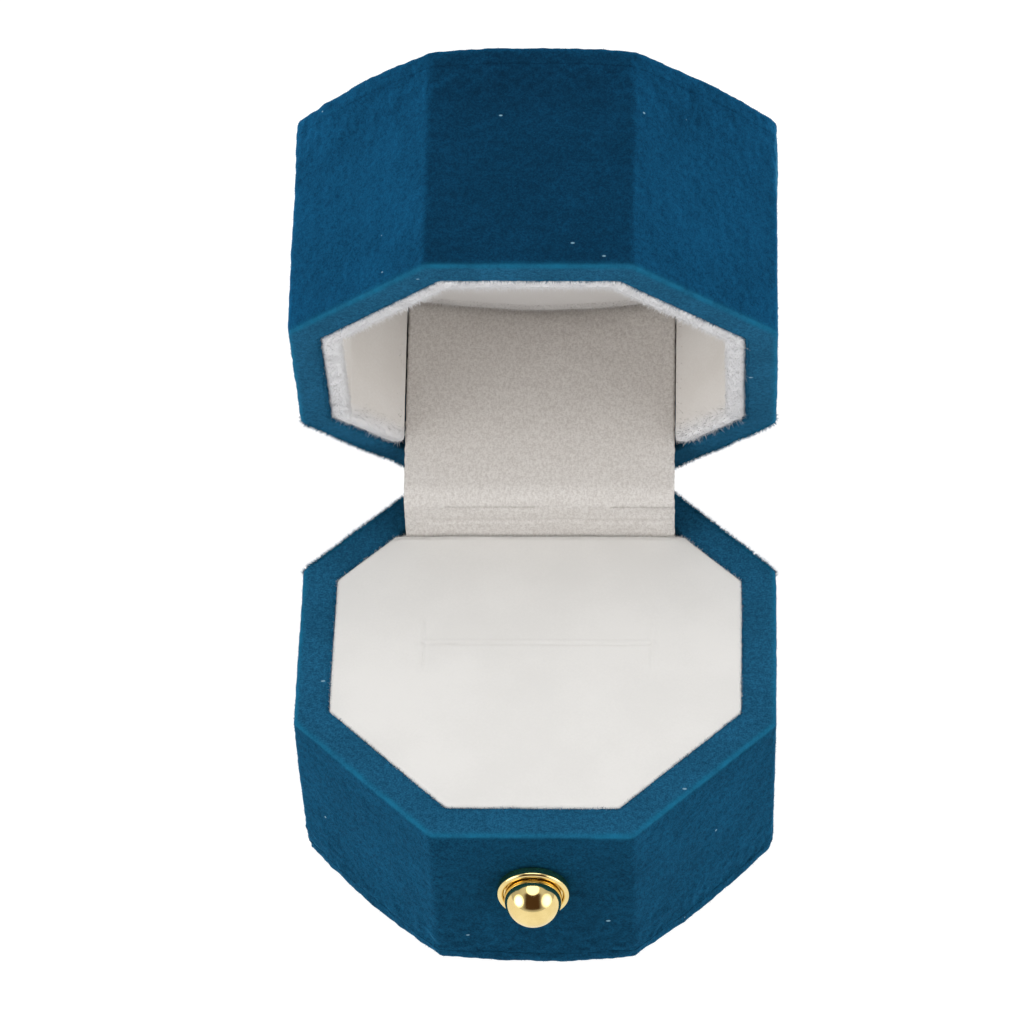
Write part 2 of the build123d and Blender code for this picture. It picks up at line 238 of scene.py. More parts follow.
def rounded_section(corners):
    """A closed section as (half, depth) points. Each corner is (half, depth, radius, step), and step
    is the spacing on the run that follows it."""
    parts = []
    count = len(corners)
    for i, (half, depth, radius, step) in enumerate(corners):
        here = np.array((half, depth))
        back = np.array(corners[i - 1][:2]) - here
        on = np.array(corners[(i + 1) % count][:2]) - here
        a, b = back / np.linalg.norm(back), on / np.linalg.norm(on)
        cut = radius / math.tan(math.acos(np.clip(a @ b, -1, 1)) / 2)
        arc = max(2, round(radius / ARC_SPACING))
        parts.append((here + a * cut, here, here + b * cut, arc, step))
    section = []
    for i, (p, here, q, arc, step) in enumerate(parts):
        if np.allclose(p, q):
            section.append(here)
        else:
            for t in np.linspace(0, 1, arc + 1):
                section.append((1 - t) ** 2 * p + 2 * t * (1 - t) * here + t * t * q)
        target = parts[(i + 1) % count][0]
        pieces = max(1, round(np.linalg.norm(target - q) / step))
        section += [q + (target - q) * t for t in np.linspace(0, 1, pieces + 1)[1:-1]]
    return np.array(section)


def noise_at(points, wavelength, shift=0.0):
    """Smooth noise from -1 to 1, whose lumps are about a wavelength apart in millimetres."""
    scale = 1 / (wavelength * MM)
    return np.array([noise.noise(Vector(p) * scale + Vector((shift, 0, 0))) for p in points])


def roughen(obj, layers, weight=1.0, ways=None):
    """Moves each vertex along its normal, or the way given for it if that isn't zero, by layers of
    noise, each given as (wavelength, height)."""
    points = vector_array(obj.data.vertices, "co")
    normals = vector_array(obj.data.vertex_normals, "vector")
    if ways is not None:
        normals = np.where(np.abs(ways).sum(axis=1, keepdims=True) > 0, ways, normals)
    move = sum(
        height * noise_at(points, wavelength, i) for i, (wavelength, height) in enumerate(layers)
    )
    points += normals * (move * weight * MM)[:, None]
    obj.data.vertices.foreach_set("co", points.ravel())
    obj.data.update()


SURFACE_VALUES = ("nap_and_painted_light", "base_shade_and_grain", "crest")


def value_array(mesh, name):
    values = np.empty(len(mesh.vertices), dtype=np.float32)
    mesh.attributes[name].data.foreach_get("value", values)
    return values


def add_value(obj, name, values):
    """Keeps a number for each vertex, for the material to read."""
    attribute = obj.data.attributes.new(name, "FLOAT", "POINT")
    attribute.data.foreach_set("value", np.asarray(values, dtype=np.float32))


def smoothstep(x, low, high):
    t = np.clip((x - low) / (high - low), 0, 1)
    return t * t * (3 - 2 * t)


THIRDS = (0.0, 2.094, 4.189)
FIBRE_FACES = np.array([(0, 1, 3), (1, 2, 3), (2, 0, 3), (2, 1, 0)])
FIBRE_ROOT = 0.08


def add_pile(obj, side, chosen, count, length, thick, lean, seed):
    """Short tapered fibres on part of a piece. Chosen gives each (x, y, depth) place, with the way it
    faces, a share of them. A fibre has three corners round its foot, and a tip."""
    mesh = obj.data
    total = len(mesh.polygons)
    centres = vector_array(mesh.polygons, "center")
    normals = vector_array(mesh.polygons, "normal")
    areas = np.empty(total)
    mesh.polygons.foreach_get("area", areas)
    share = areas * np.clip(chosen(drawn(centres, side), normals), 0, None)
    draw = np.random.default_rng(seed)
    picked = draw.choice(total, count, p=share / share.sum())
    root, out = centres[picked] / MM, normals[picked]
    root = root + draw.normal(0, 0.1, (count, 3)) * (1 - np.abs(out))
    way = out + lean * draw.normal(0, 0.6, (count, 3))
    way /= np.linalg.norm(way, axis=1)[:, None]
    side_a = np.cross(way, draw.normal(0, 1, (count, 3)))
    side_a /= np.linalg.norm(side_a, axis=1)[:, None]
    side_b = np.cross(way, side_a)
    tip = root + way * (length * draw.uniform(0.45, 1.0, count))[:, None]
    foot = root - out * FIBRE_ROOT
    rounds = [foot + thick * (math.cos(a) * side_a + math.sin(a) * side_b) for a in THIRDS]
    points = np.stack([*rounds, tip], axis=1).reshape(-1, 3)
    faces = (FIBRE_FACES[None] + 4 * np.arange(count)[:, None, None]).reshape(-1, 3).tolist()
    fibres = bpy.data.meshes.new("fibres")
    fibres.from_pydata((points * MM).tolist(), [], faces)
    starts = np.empty(total, dtype=np.int32)
    mesh.polygons.foreach_get("loop_start", starts)
    corners = np.empty(len(mesh.loops), dtype=np.int32)
    mesh.loops.foreach_get("vertex_index", corners)
    roots = corners[starts[picked]]
    kept = {a.name: value_array(mesh, a.name) for a in mesh.attributes if a.name in SURFACE_VALUES}
    joined = bmesh.new()
    joined.from_mesh(mesh)
    joined.from_mesh(fibres)
    joined.to_mesh(mesh)
    joined.free()
    bpy.data.meshes.remove(fibres)
    for name, values in kept.items():
        values = np.concatenate([values, np.repeat(values[roots], 4)])
        mesh.attributes[name].data.foreach_set("value", values)
    mesh.shade_smooth()


def finish_piece(obj, body, slot, nodes, material=None):
    """Gives a piece its material, by its slot's name unless another is named, its body if it has only
    one, and the CAD nodes that it stands for."""
    obj.data.materials.clear()
    obj.data.materials.append(MATERIALS[material or slot])
    if body:
        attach(obj, body)
    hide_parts(*nodes)


# Materials


# A Mix node's sockets for its share and its two colours, and its outgoing colour
MIX_SHARE, MIX_A, MIX_B, MIX_COLOUR = 0, 6, 7, 2


class Nodes:
    """The nodes of a material or a world, with short ways to add what they share."""

    def __init__(self, owner, place="Object"):
        owner.use_nodes = True
        self.material = owner
        self.tree = owner.node_tree
        self.shader = self.tree.nodes.get("Principled BSDF")
        self.place = self.tree.nodes.new("ShaderNodeTexCoord").outputs[place]

    def link(self, source, target):
        if isinstance(source, (int, float)):
            target.default_value = source
        elif isinstance(source, tuple):
            target.default_value = (*source, 1) if len(source) == 3 else source
        else:
            self.tree.links.new(source, target)

    def stretched(self, scale):
        node = self.tree.nodes.new("ShaderNodeMapping")
        node.inputs["Scale"].default_value = scale
        self.link(self.place, node.inputs["Vector"])
        return node.outputs["Vector"]

    def noise(self, wavelength, detail=2.0, roughness=0.5, place=None):
        node = self.tree.nodes.new("ShaderNodeTexNoise")
        node.inputs["Scale"].default_value = 1 / (wavelength * MM)
        node.inputs["Detail"].default_value = detail
        node.inputs["Roughness"].default_value = roughness
        self.link(place or self.place, node.inputs["Vector"])
        return node.outputs["Fac"]

    def cells(self, size, output, place=None):
        node = self.tree.nodes.new("ShaderNodeTexVoronoi")
        node.inputs["Scale"].default_value = 1 / (size * MM)
        self.link(place or self.place, node.inputs["Vector"])
        return node.outputs[output]

    def math(self, operation, a, b=0.0):
        node = self.tree.nodes.new("ShaderNodeMath")
        node.operation = operation
        self.link(a, node.inputs[0])
        self.link(b, node.inputs[1])
        return node.outputs[0]

    def blended(self, a, share, b):
        """A share of one value, with the rest of another."""
        first = self.math("MULTIPLY", a, share)
        return self.math("ADD", first, self.math("MULTIPLY", b, round(1 - share, 2)))

    def ranged(self, value, low, high, start=0.0, end=1.0):
        node = self.tree.nodes.new("ShaderNodeMapRange")
        node.interpolation_type = "SMOOTHSTEP"
        names = ("From Min", "From Max", "To Min", "To Max")
        for name, number in zip(names, (low, high, start, end)):
            node.inputs[name].default_value = number
        self.link(value, node.inputs["Value"])
        return node.outputs["Result"]

    def mixed(self, share, a, b, blend="MIX"):
        node = self.tree.nodes.new("ShaderNodeMix")
        node.data_type = "RGBA"
        node.blend_type = blend
        self.link(share, node.inputs[MIX_SHARE])
        self.link(a, node.inputs[MIX_A])
        self.link(b, node.inputs[MIX_B])
        return node.outputs[MIX_COLOUR]

    def grazing(self):
        """0 where the surface is seen straight on, 1 where it is seen edge on: the sheen of pile."""
        return self.tree.nodes.new("ShaderNodeLayerWeight").outputs["Facing"]

    def value(self, name):
        node = self.tree.nodes.new("ShaderNodeAttribute")
        node.attribute_name = name
        return node.outputs["Fac"]

    def multiplied(self, a, b):
        return self.mixed(1.0, a, b, "MULTIPLY")

    def bump(self, height, distance, strength=1.0):
        node = self.tree.nodes.new("ShaderNodeBump")
        node.inputs["Strength"].default_value = strength
        node.inputs["Distance"].default_value = distance * MM
        self.link(height, node.inputs["Height"])
        self.link(node.outputs["Normal"], self.shader.inputs["Normal"])

    def set(self, **inputs):
        for name, source in inputs.items():
            self.link(source, self.shader.inputs[name.replace("_", " ")])


def linear(red, green, blue):
    """A colour given in 0 to 255, in linear light."""
    return tuple(
        c / 12.92 / 255 if c / 255 <= 0.04045 else ((c / 255 + 0.055) / 1.055) ** 2.4
        for c in (red, green, blue)
    )


def lint(nodes, size, share, speck):
    """Sparse specks of lint: 1 inside a speck, 0 outside."""
    place = nodes.stretched((0.55, 1.1, 0.9))
    near = nodes.ranged(nodes.cells(size, "Distance", place), speck, speck * 0.6)
    colour = nodes.cells(size, "Color", place)
    split = nodes.tree.nodes.new("ShaderNodeSeparateColor")
    nodes.link(colour, split.inputs[0])
    chosen = nodes.math("LESS_THAN", split.outputs[0], share)
    return nodes.math("MULTIPLY", near, chosen)


def teal_velvet():
    """Painted sheen: pile is dark seen end on and lighter seen from the side, and lightest near the
    silhouettes. The rims are lighter, partly where the pile is brushed up and partly as painted light,
    with a painted highlight along each crest. The base's walls carry painted shade, a little darker than
    the lid's, and the base's pile looks a little rougher."""
    nodes = Nodes(bpy.data.materials.new("teal_velvet"))
    grain = nodes.noise(0.19, 2.0, 0.6)
    felt = nodes.noise(0.5, 2.0, 0.55)
    patches = nodes.noise(6.0, 2.0)
    lay = nodes.blended(grain, 0.62, felt)
    tone = nodes.ranged(lay, 0.33, 0.68)
    end_on, side_on = (0.0024, 0.0248, 0.0575), (0.0066, 0.1190, 0.2700)
    # Painted sheen: the colour is lighter the more edge on the pile is seen.
    seen = nodes.mixed(nodes.grazing(), end_on, side_on)
    # Painted shade: the base's walls are a little darker than the lid's.
    seen = nodes.mixed(nodes.value("base_shade_and_grain"), seen, nodes.multiplied(seen, (0.82, 0.76, 0.70)))
    # The rims' colour: lighter partly for brushed-up nap and partly as painted light.
    rim_nap_and_painted_light = nodes.mixed(nodes.grazing(), (0.0098, 0.0780, 0.1560), (0.0180, 0.1380, 0.2640))
    # Painted shade: the lid's rims are a little darker than the base's.
    rim_nap_and_painted_light = nodes.mixed(nodes.value("base_shade_and_grain"), nodes.multiplied(rim_nap_and_painted_light, (0.92, 0.88, 0.88)), rim_nap_and_painted_light)
    colour = nodes.mixed(nodes.value("nap_and_painted_light"), seen, rim_nap_and_painted_light)
    in_lid = nodes.mixed(tone, (0.68, 0.68, 0.71), (1.32, 1.32, 1.29))
    in_base = nodes.mixed(tone, (0.62, 0.62, 0.65), (1.38, 1.38, 1.35))
    colour = nodes.multiplied(colour, nodes.mixed(nodes.value("base_shade_and_grain"), in_lid, in_base))
    cloudy = nodes.mixed(nodes.ranged(patches, 0.3, 0.7), (0.93, 0.93, 0.93), (1.07, 1.07, 1.07))
    colour = nodes.multiplied(colour, cloudy)
    # Painted highlight along each rim's crest, broken up by noise.
    uneven = nodes.ranged(nodes.noise(2.6, 3.0), 0.3, 0.75, 0.45, 0.95)
    painted_crest_highlight = nodes.math("MULTIPLY", nodes.value("crest"), uneven)
    colour = nodes.mixed(painted_crest_highlight, colour, (0.010, 0.165, 0.300))
    # Painted sheen near the silhouettes, where the surface is seen almost edge on.
    edge_on = nodes.ranged(nodes.grazing(), 0.76, 0.98, 0.0, 0.75)
    colour = nodes.mixed(edge_on, colour, (0.030, 0.220, 0.360))
    colour = nodes.mixed(lint(nodes, 2.2, 0.22, 0.075), colour, linear(125, 165, 185))
    nodes.set(
        Base_Color=colour,
        Roughness=0.9,
        Specular_IOR_Level=0.03,
        Sheen_Weight=0.03,
        Sheen_Roughness=0.4,
        Sheen_Tint=linear(60, 165, 210),
    )
    nodes.bump(lay, 0.12, 0.6)
    return nodes.material


def white_velvet(name, shade, light):
    nodes = Nodes(bpy.data.materials.new(name))
    grain = nodes.noise(0.25, 2.0, 0.6)
    patches = nodes.noise(9.0, 2.0)
    lay = nodes.blended(grain, 0.3, patches)
    colour = nodes.mixed(nodes.ranged(lay, 0.35, 0.65), shade, light)
    # Painted light: the pile is lighter where this value is set, as though it caught more light.
    colour = nodes.mixed(nodes.value("nap_and_painted_light"), colour, (0.90, 0.90, 0.91))
    colour = nodes.mixed(lint(nodes, 4.0, 0.5, 0.03), colour, linear(176, 172, 167))
    nodes.set(
        Base_Color=colour,
        Roughness=0.9,
        Specular_IOR_Level=0.05,
        Sheen_Weight=nodes.ranged(nodes.value("nap_and_painted_light"), 0.0, 1.0, 0.08, 0.7),
        Sheen_Roughness=0.5,
        Sheen_Tint=(0.95, 0.97, 1.0),
    )
    nodes.bump(grain, 0.05, 0.15)
    return nodes.material


def grey_suede():
    nodes = Nodes(bpy.data.materials.new("grey_suede"))
    fibres = nodes.noise(0.15, 3.0, 0.75)
    flecks = nodes.noise(0.3, 2.0, 0.6, nodes.stretched((1.0, 0.7, 0.7)))
    lay = nodes.blended(fibres, 0.6, flecks)
    colour = nodes.mixed(nodes.ranged(lay, 0.36, 0.62), linear(206, 201, 196), linear(234, 231, 227))
    nodes.set(Base_Color=colour, Roughness=0.95, Specular_IOR_Level=0.05, Sheen_Weight=0.05)
    nodes.bump(fibres, 0.06, 0.5)
    return nodes.material


def card():
    nodes = Nodes(bpy.data.materials.new("card"))
    pulp = nodes.noise(0.5, 5.0, 0.7)
    layers = nodes.noise(0.25, 2.0, 0.5, nodes.stretched((0.2, 1.0, 0.4)))
    lay = nodes.blended(pulp, 0.6, layers)
    nodes.set(
        Base_Color=nodes.mixed(nodes.ranged(lay, 0.3, 0.7), linear(104, 74, 50), linear(158, 124, 90)),
        Roughness=0.9,
        Specular_IOR_Level=0.2,
    )
    nodes.bump(pulp, 0.06, 0.5)
    return nodes.material


def shell_board():
    nodes = Nodes(bpy.data.materials.new("shell_board"))
    fleck = nodes.noise(0.8, 4.0, 0.6)
    nodes.set(
        Base_Color=nodes.mixed(nodes.ranged(fleck, 0.35, 0.7), linear(58, 60, 64), linear(92, 94, 98)),
        Roughness=nodes.ranged(fleck, 0.3, 0.7, 0.5, 0.7),
    )
    nodes.bump(fleck, 0.04, 0.4)
    return nodes.material


def foam():
    nodes = Nodes(bpy.data.materials.new("foam"))
    bubbles = nodes.cells(0.6, "Distance")
    tone = nodes.ranged(bubbles, 0.1, 0.6)
    nodes.set(
        Base_Color=nodes.mixed(tone, linear(196, 190, 172), linear(232, 228, 214)),
        Roughness=0.95,
        Specular_IOR_Level=0.1,
    )
    nodes.bump(bubbles, 0.15, 0.6)
    return nodes.material


def brass():
    nodes = Nodes(bpy.data.materials.new("gold_brass"))
    polish = nodes.noise(2.2, 3.0, 0.6)
    scratches = nodes.noise(0.3, 2.0, 0.5, nodes.stretched((4.0, 0.5, 0.5)))
    tone = nodes.ranged(polish, 0.35, 0.7)
    nodes.set(
        Base_Color=nodes.mixed(tone, (0.76, 0.585, 0.245), (0.84, 0.665, 0.300)),
        Metallic=1.0,
        Roughness=nodes.ranged(scratches, 0.35, 0.75, 0.07, 0.14),
    )
    nodes.bump(polish, 0.02, 0.35)
    return nodes.material


def steel():
    nodes = Nodes(bpy.data.materials.new("hinge_steel"))
    rolled = nodes.noise(0.5, 3.0, 0.6, nodes.stretched((0.15, 1.0, 1.0)))
    spots = nodes.noise(1.5, 3.0, 0.6)
    tone = nodes.ranged(spots, 0.4, 0.75)
    nodes.set(
        Base_Color=nodes.mixed(tone, linear(196, 198, 202), linear(164, 164, 166)),
        Metallic=1.0,
        Roughness=nodes.ranged(rolled, 0.3, 0.7, 0.24, 0.42),
    )
    nodes.bump(rolled, 0.02, 0.4)
    return nodes.material


MATERIALS = {
    "teal_velvet": teal_velvet(),
    "white_velvet": white_velvet("white_velvet", linear(226, 225, 222), linear(231, 230, 227)),
    # A darker, warmer copy of the white velvet for the lid's lining and pad: painted shade and warm bounce light.
    "shaded_lid_velvet": white_velvet("shaded_lid_velvet", linear(224, 220, 215), linear(231, 228, 224)),
    "grey_suede": grey_suede(),
    "card": card(),
    "shell_board": shell_board(),
    "foam": foam(),
    "gold_brass": brass(),
    "hinge_steel": steel(),
}


# The velvet sleeves and ends


def rim_cut(points):
    """The rear of each rim slopes away from the hinge line, so that the lid can lean back."""
    full_to, fades_over = 1.2, 4
    drop = np.maximum(points[:, 1] - HINGE[1], 0) * math.tan(OPEN / 2)
    points[:, 2] += drop * np.clip(1 - (points[:, 2] - full_to) / fades_over, 0, 1)
    return points


def corner_radius(half):
    return max(0.15, min(1.4 - 0.2 * (HALF - half), 0.3 * half))


def ring_surface(section, closed=True):
    """A surface whose rows are octagons, one for each (half, depth) of a section."""
    rows = []
    for half, depth in section:
        ring = outline(octagon(half), corner_radius(half), FLAT_STEPS)
        rows.append(np.column_stack([ring, np.full(len(ring), depth)]))
    columns = len(rows[0])
    return np.concatenate(rows), grid_faces(len(rows), columns, closed, True), columns


def cut_away(obj, cutter):
    """Takes the cutter's volume out of a piece, and removes the cutter."""
    modifier = obj.modifiers.new("cut", "BOOLEAN")
    modifier.operation = "DIFFERENCE"
    modifier.solver = "EXACT"
    modifier.object = cutter
    with bpy.context.temp_override(object=obj, active_object=obj, selected_objects=[obj]):
        bpy.ops.object.modifier_apply(modifier="cut")
    bpy.data.objects.remove(cutter)


def block(low, high, side):
    """A cutter from one (x, y, depth) corner to the other."""
    (x0, y0, d0), (x1, y1, d1) = low, high
    corners = [(x, y, d) for x in (x0, x1) for y in (y0, y1) for d in (d0, d1)]
    faces = [(0, 1, 3, 2), (4, 6, 7, 5), (0, 4, 5, 1), (2, 3, 7, 6), (0, 2, 6, 4), (1, 5, 7, 3)]
    return add_mesh("cutter", placed(corners, side), faces, smooth=False)


def knuckle_cutter(radius, reach, sides=48):
    """A cylinder on the hinge line."""
    turns = np.linspace(0, 2 * math.pi, sides, endpoint=False)
    ring = np.stack([HINGE[1] + radius * np.cos(turns), HINGE[2] + radius * np.sin(turns)], axis=1)
    points = [(x, y, z) for x in (-reach, reach) for y, z in ring]
    faces = grid_faces(2, sides, False, True)
    faces += [tuple(range(sides)), tuple(range(sides, 2 * sides))]
    return add_mesh("cutter", points, faces, smooth=False)


# Each layer of noise is (wavelength, height). The velvet on an end stands proud of the sleeve, whose
# edge goes under it at the seam.
VELVET_LAYERS = [(0.85, 0.06), (2.0, 0.05), (7.0, 0.07)]
WAVY_EDGE = [(3.2, 0.14)]
FLAT = math.radians(45)
FLAT_STEPS = 66
PROUD, UNDER = 0.03, 0.35


def coarser(side, depth):
    """The pile is rougher where it has been glued down near a seam."""
    return 1 + 1.6 * np.exp(-(((depth - SEAM[side] + 1.0) / 2.6) ** 2))


def flat_ways(points):
    """Straight out, as (x, y, 0), from the flat of the octagon that each point is nearest."""
    turn = np.round(np.arctan2(points[:, 1], points[:, 0]) / FLAT) * FLAT
    return np.stack([np.cos(turn), np.sin(turn), np.zeros(len(turn))], axis=1)


def seam_ways(points, side, section, columns):
    """Straight out from the wall near the seam, so that the two velvets move together, and zero
    elsewhere."""
    out = flat_ways(points)
    outside = section[:, 0] > outer_half(side, section[:, 1]) - 0.3
    near = outside & (np.abs(section[:, 1] - SEAM[side]) < 0.7)
    return (placed(points + out, side) - placed(points, side)) * np.repeat(near, columns)[:, None]


def swelled(points, side):
    """The flats swell a little towards the end, where the velvet is turned over, least at the two
    sides, and the base's corners are drawn in there."""
    swell, drawn_in = (0.3, 0.5) if side == BASE else (0.9, 0.0)
    out = flat_ways(points)[:, :2]
    half = np.maximum((points[:, :2] * out).sum(axis=1), 0.1)
    along = points[:, 1] * out[:, 0] - points[:, 0] * out[:, 1]
    bow = np.clip(1 - (along / (half * math.tan(FLAT / 2))) ** 2, 0, 1)
    share = np.minimum(half / HALF, 1)
    swell = swell * np.where(np.abs(out[:, 0]) > 0.9, 0.2, 1.0)
    near = smoothstep(points[:, 2], SEAM[side] - 7, END_DEPTH[side])
    turn_over = 3.4
    last = np.clip((points[:, 2] - END_DEPTH[side] + turn_over) / turn_over, 0, 1) ** 2
    points[:, :2] += out * (share * (swell * bow * near - drawn_in * (1 - bow) * last))[:, None]
    return points


def sleeve(side):
    """Velvet over a wall's outside, over its rim and a little way down its inside."""
    seam, fine, coarse, mouth = SEAM[side] + UNDER, 0.34, 2.4, MOUTH_HALF[side]
    section = rounded_section(
        [
            (outer_half(side, seam), seam, 0.04, fine),
            (outer_half(side, RIM_GAP), RIM_GAP, 0.5, 0.25),
            (mouth, RIM_GAP, 0.5, fine),
            (mouth, TURN_IN, 0.1, coarse),
            (BOARD_HALF, TURN_IN, 0.0, coarse),
            (BOARD_HALF, RIM_GAP + PILE, 0.1, coarse),
            (outer_half(side, 0) - PILE, RIM_GAP + PILE, 0.1, coarse),
            (outer_half(side, seam) - PILE, seam, 0.0, 0.3),
        ]
    )
    points, faces, columns = ring_surface(section)
    wall = section[:, 0] > outer_half(side, section[:, 1]) - 0.3
    rim = section[:, 1] < RIM_GAP + 0.3
    inside = np.abs(section[:, 0] - mouth) < 0.1
    edge = np.hypot(section[:, 0] - outer_half(side, 0), section[:, 1] - RIM_GAP)
    # The rim is lighter in the material, partly for brushed-up nap and partly as painted light, and is roughened
    # less.
    nap_and_painted_light = np.repeat(1 - smoothstep(section[:, 1], 0.2, 0.55), columns)
    shown = np.repeat(np.maximum((wall | rim).astype(float), 0.4 * inside), columns)
    ways = seam_ways(points, side, section, columns)
    obj = add_mesh(f"{side}_sleeve", placed(rim_cut(swelled(points, side)), side), faces)
    add_value(obj, "nap_and_painted_light", nap_and_painted_light)
    add_value(obj, "base_shade_and_grain", np.full(len(points), float(side == BASE)))
    crest = np.repeat(np.exp(-((edge / 0.42) ** 2)), columns)
    add_value(obj, "crest", crest)
    rough = np.repeat(coarser(side, section[:, 1]), columns)
    roughen(obj, VELVET_LAYERS, shown * (1 - 0.45 * nap_and_painted_light) * rough, ways)
    roughen(obj, WAVY_EDGE, crest * (points[:, 1] < 0.8 * HALF))
    cut_away(obj, knuckle_cutter(radius=1.7, reach=9.55))
    slot_low = (LEAF[0][0] - 0.1, mouth - 0.6, 1.0)
    slot_high = (LEAF[1][0] + 0.1, BOARD_HALF + 0.3, LEAF[1][2] + 0.2)
    cut_away(obj, block(slot_low, slot_high, side))

    def reach(place):
        across = np.abs(place[:, :2])
        return np.maximum(across.max(axis=1), across.sum(axis=1) / math.sqrt(2))

    def at_edges(place, normal):
        corner = reach(place)
        on_wall = corner > outer_half(side, place[:, 2]) - 0.3
        visible = (corner > mouth - 0.3) & (on_wall | (place[:, 2] < 0.5))
        near_rim = place[:, 2] < 1.0
        return visible * (1.0 + 2.5 * near_rim)

    def at_mouth(place, normal):
        return (np.abs(reach(place) - mouth) < 0.4) & (place[:, 2] < 0.8)

    def at_rear(place, normal):
        return (place[:, 1] > 11) & (place[:, 2] < 1.2) & (reach(place) > outer_half(side, 0) - 0.5)

    add_pile(obj, side, at_edges, count=14000, length=0.22, thick=0.028, lean=0.6, seed=3)
    add_pile(obj, side, at_mouth, count=7000, length=0.5, thick=0.024, lean=0.7, seed=9)
    add_pile(obj, side, at_rear, count=6000, length=0.6, thick=0.03, lean=0.7, seed=11)
    finish_piece(obj, side, "teal_velvet", [f"{side}_velvet_wrap"])


def end_cover(side, node):
    """Velvet over the bottom or the top, turned up to a seam near the end."""
    end, seam = END_DEPTH[side] - 0.01, SEAM[side]
    half, fine, coarse = outer_half(side, end), 0.24, 6.0
    section = rounded_section(
        [
            (0.6, end, 0.0, fine),
            (half + PROUD, end, 1.1 if side == BASE else 0.75, 0.3),
            (outer_half(side, seam) + PROUD, seam, 0.06, 0.3),
            (outer_half(side, seam) - UNDER, seam, 0.0, 1.0),
            (outer_half(side, seam) - UNDER, seam + 1.0, 0.0, 1.0),
            (outer_half(side, end) - PILE, end - PILE, 0.1, coarse),
            (0.6, end - PILE, 0.0, coarse),
        ]
    )
    last = int(np.argmax((section[:, 0] < 0.7) & (np.arange(len(section)) > 5)))
    section = section[: last + 1]
    points, faces, columns = ring_surface(section, closed=False)
    faces += [tuple(range(columns)), tuple(range(len(points) - columns, len(points)))]
    ways = seam_ways(points, side, section, columns)
    obj = add_mesh(f"{side}_end_cover", placed(swelled(points, side), side), faces)
    add_value(obj, "base_shade_and_grain", np.full(len(points), float(side == BASE)))
    shown = np.repeat(np.arange(len(section)) < np.argmax(section[:, 1] < seam + 0.01), columns)
    roughen(obj, VELVET_LAYERS, shown * np.repeat(coarser(side, section[:, 1]), columns), ways)

    def past_seam(place, normal):
        return place[:, 2] > seam

    add_pile(obj, side, past_seam, count=9000, length=0.22, thick=0.028, lean=0.6, seed=4)
    if side == BASE:
        points = vector_array(obj.data.vertices, "co")
        points[:, 2] = np.maximum(points[:, 2], 0)
        obj.data.vertices.foreach_set("co", points.ravel())
    finish_piece(obj, side, "teal_velvet", [node])


# The cushion and the ceiling pad


CORNER_ZONE = 7.0


def squeezed(x, y, half, rear):
    """A point of a rectangle, moved inwards near its corners, which makes it an octagon."""
    q, t = (abs(x) + abs(y)) / math.sqrt(2), (abs(x) - abs(y)) / math.sqrt(2)
    reach = rear if y > 0 else half
    most = min(math.sqrt(2) * half - t, math.sqrt(2) * reach + t)
    limit, start = min(half, most), half - CORNER_ZONE
    if q > start and most > half:
        q = start + (q - start) * (limit - start) / (most - start)
    return (math.copysign((q + t) / math.sqrt(2), x), math.copysign((q - t) / math.sqrt(2), y))


def spaced(low, high, step, fine_at=(), fine_reach=0.0, fine_step=0.12):
    """Numbers from low to high, closer together near the fine places."""
    values = [low]
    while values[-1] < high:
        near = any(abs(values[-1] - f) < fine_reach for f in fine_at)
        values.append(values[-1] + (fine_step if near else step))
    values = np.array(values)
    return low + (values - low) * (high - low) / (values[-1] - low)


def pad(name, side, low, high, edge, crown, relief=None, fine_x=(), fine_y=()):
    """A padded octagon with a straight rear. Low and high are the corners of the room that it has, and
    crown is how much higher its middle is than its sides."""
    half, rear = high[0] - edge, high[1] - edge
    face, back = low[2], high[2]
    xs = spaced(-half, half, 0.4, fine_x, 1.0)
    ys = spaced(-half, rear, 0.4, fine_y, 1.0)
    flat = np.array([squeezed(x, y, half, rear) for y in ys for x in xs])
    middle = (rear - half) / 2
    across, along = flat[:, 0] / half, (flat[:, 1] - middle) / half
    depth = face + crown * (0.85 * across**2 + 0.15 * along**2)
    if relief:
        depth = depth + relief(flat[:, 0], flat[:, 1])
    rows, columns = len(ys), len(xs)
    points = [np.column_stack([flat, depth])]
    faces = grid_faces(rows, columns)
    edge_ids = grid_edge(rows, columns)
    loop = points[0][edge_ids]
    along = np.roll(loop[:, :2], -1, axis=0) - np.roll(loop[:, :2], 1, axis=0)
    out = np.stack([along[:, 1], -along[:, 0]], axis=1)
    for _ in range(4):
        out /= np.linalg.norm(out, axis=1)[:, None]
        out = (np.roll(out, 1, axis=0) + 2 * out + np.roll(out, -1, axis=0)) / 4
    skirt = [(edge * math.sin(a), edge * (1 - math.cos(a))) for a in np.linspace(0, QUARTER, 9)[1:]]
    drop, fall_step = edge, 0.4
    while face + crown + drop < back - fall_step:
        drop += fall_step
        skirt.append((edge, drop))
    start = rows * columns
    count = len(edge_ids)
    for reach, fall in skirt:
        points.append(np.column_stack([loop[:, :2] + out * reach, loop[:, 2] + fall]))
    starts = [start + i * count for i in range(len(skirt))]
    loops = [edge_ids] + [list(range(first, first + count)) for first in starts]
    for near, far in zip(loops, loops[1:]):
        faces += joined_loops(near, far)
    faces.append(tuple(loops[-1]))
    return add_mesh(name, placed(np.concatenate(points), side), faces)


def to_segment(x, y, start, end):
    """How far each point is from a straight line between two places."""
    a, b = np.array(start), np.array(end)
    p = np.stack([x, y], axis=1) - a
    t = np.clip(p @ (b - a) / ((b - a) @ (b - a)), 0, 1)
    return np.linalg.norm(p - t[:, None] * (b - a), axis=1)


SLIT_HALF, CUT_HALF = 12.9, 3.5


